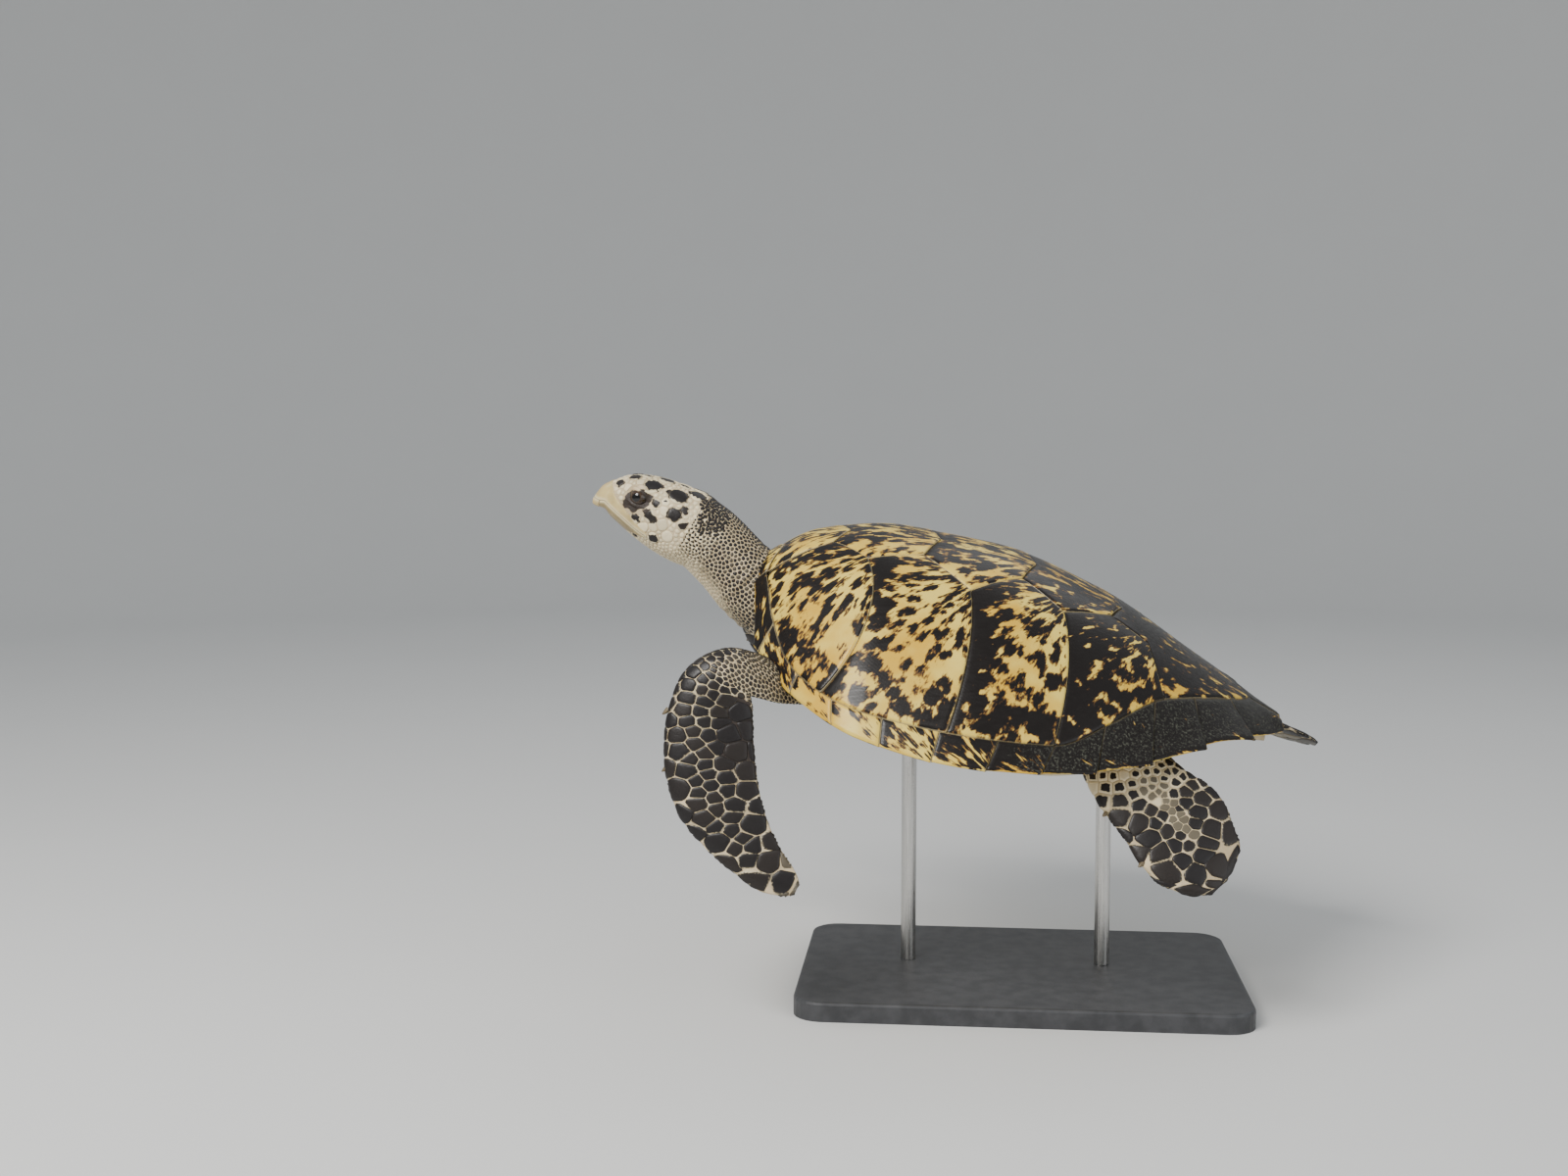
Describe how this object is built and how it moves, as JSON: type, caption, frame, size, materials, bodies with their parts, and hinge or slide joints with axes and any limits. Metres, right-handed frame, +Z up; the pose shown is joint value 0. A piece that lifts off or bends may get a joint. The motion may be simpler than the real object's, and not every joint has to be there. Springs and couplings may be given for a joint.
{
  "type": "hawksbill sea turtle model",
  "caption": "Still life-size model of a swimming hawksbill sea turtle, head raised and flippers hanging, held on rods over a flat display base.",
  "frame": {"origin": "centre of the underside of the stand's base", "axes": "-X towards the animal's nose, -Y towards its left side, +Z up from the base"},
  "size_m": [0.7778, 0.5333, 0.543],
  "materials": {
    "horn_scute": "glossy tortoiseshell horn, streaked",
    "rim_scute": "dark horn, duller and algae-stained towards the tail",
    "plastron_scute": "smooth pale yellow horn",
    "skin": "pale granular skin under small dark scales",
    "flipper_skin": "large dark scales with pale joints",
    "beak": "satin olive-yellow horn",
    "eye": "polished, dark",
    "stand_paint": "satin black",
    "stand_steel": "satin",
    "stand_pad": "matte black"
  },
  "bodies": {
    "root": {"beak_lower": "beak", "beak_upper": "beak", "costal_1_left": "horn_scute", "costal_1_right": "horn_scute", "costal_2_left": "horn_scute", "costal_2_right": "horn_scute", "costal_3_left": "horn_scute", "costal_3_right": "horn_scute", "costal_4_left": "horn_scute", "costal_4_right": "horn_scute", "eye_left": "eye", "eye_right": "eye", "front_claw_1_left": "beak", "front_claw_1_right": "beak", "front_claw_2_left": "beak", "front_claw_2_right": "beak", "front_flipper_left": "flipper_skin", "front_flipper_right": "flipper_skin", "head": "skin", "hind_claw_1_left": "beak", "hind_claw_1_right": "beak", "hind_claw_2_left": "beak", "hind_claw_2_right": "beak", "hind_flipper_left": "flipper_skin", "hind_flipper_right": "flipper_skin", "marginal_rim_left": "rim_scute", "marginal_rim_right": "rim_scute", "neck": "skin", "nuchal": "horn_scute", "plastron": "plastron_scute", "stand_base": "stand_paint", "stand_pad_front": "stand_pad", "stand_pad_rear": "stand_pad", "stand_rod_front": "stand_steel", "stand_rod_rear": "stand_steel", "tail": "skin", "thigh_left": "flipper_skin", "thigh_right": "flipper_skin", "trunk": "skin", "upper_arm_left": "flipper_skin", "upper_arm_right": "flipper_skin", "vertebral_1": "horn_scute", "vertebral_2": "horn_scute", "vertebral_3": "horn_scute", "vertebral_4": "horn_scute", "vertebral_5": "horn_scute"}
  },
  "joints": []
}
